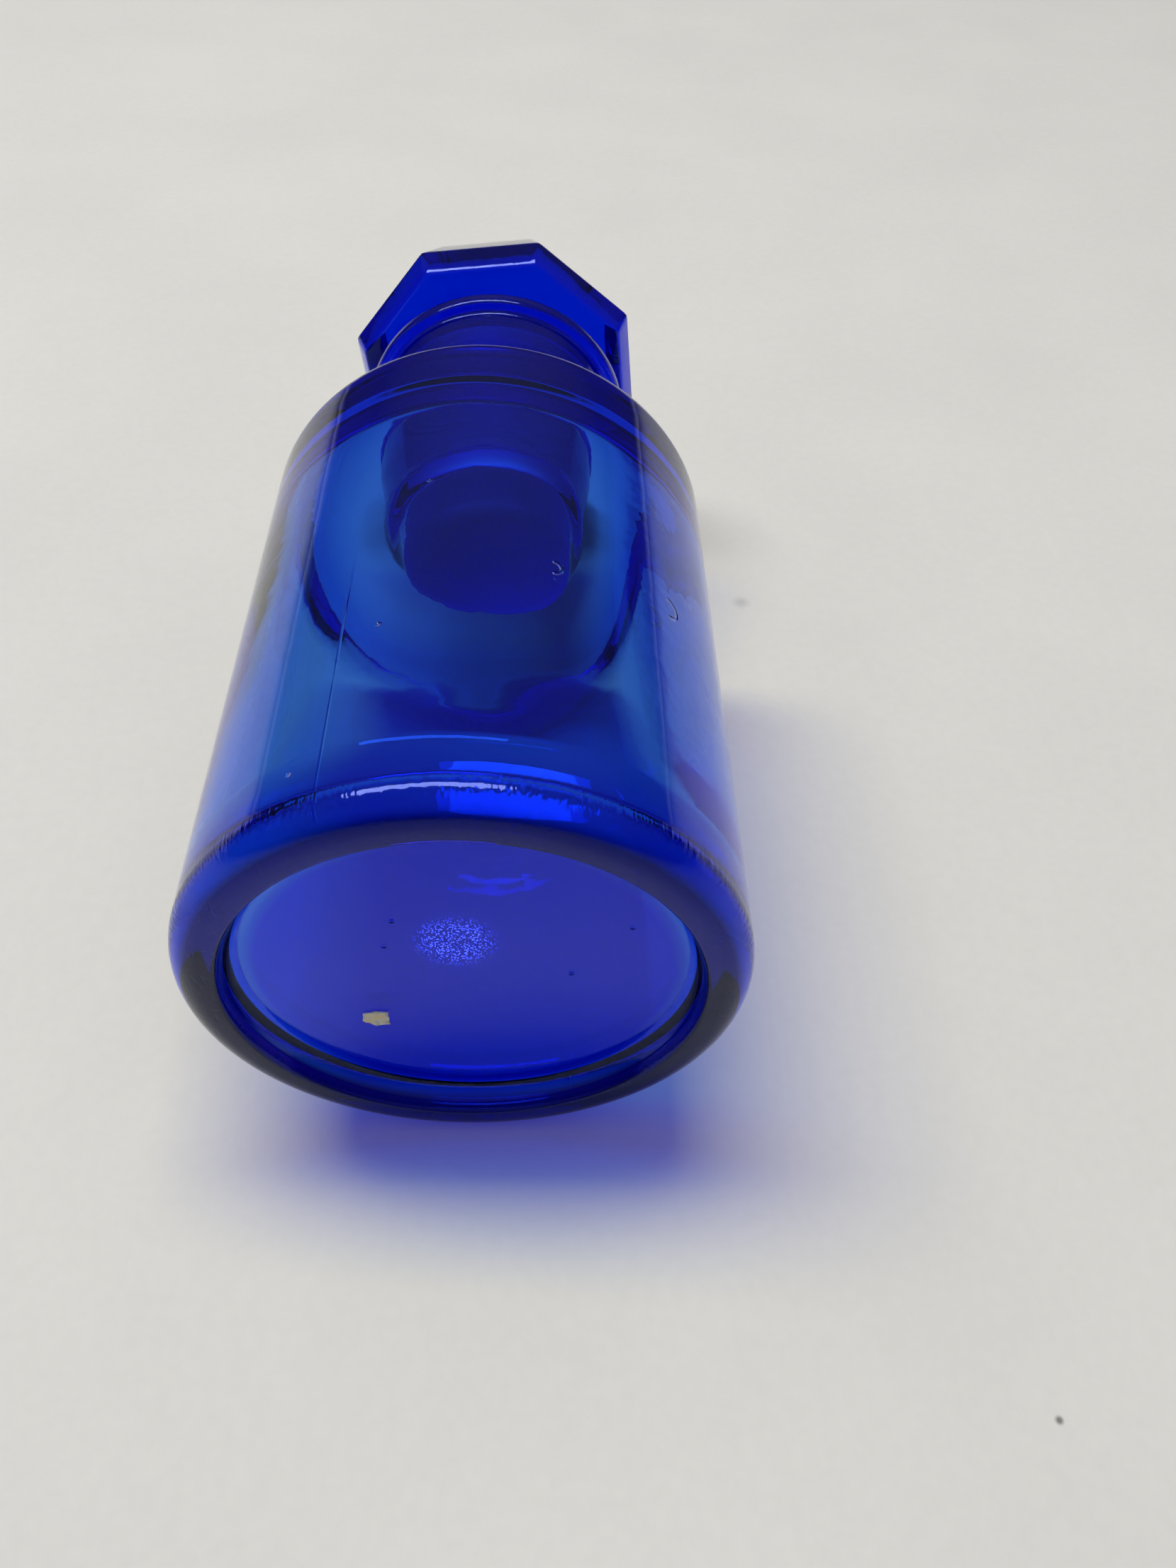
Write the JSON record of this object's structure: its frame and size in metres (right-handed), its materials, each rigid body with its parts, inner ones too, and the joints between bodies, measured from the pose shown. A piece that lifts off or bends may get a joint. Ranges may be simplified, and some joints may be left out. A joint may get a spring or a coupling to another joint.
{
  "type": "medicine bottle",
  "caption": "Small round cobalt blue glass medicine bottle with a recessed base, flanged lip and lift-out eight-sided ground glass stopper.",
  "frame": {"origin": "centre of the base, in the plane that the bottle stands on", "axes": "+Z along the bottle's axis towards the stopper; flats of the stopper's head face +X and +Y"},
  "size_m": [0.045, 0.045, 0.0994],
  "materials": {
    "bottle_glass": "gloss",
    "stopper_glass": "gloss with a ground plug",
    "old_paper": "matt, aged"
  },
  "bodies": {
    "bottle": {"bottle": "bottle_glass", "label_remnant": "old_paper"},
    "stopper": {"stopper": "stopper_glass"}
  },
  "joints": [
    {"name": "stopper_lift", "type": "slide", "parent": "bottle", "child": "stopper", "axis": [0, 0, 1], "range_m": [0, 0.035]}
  ]
}
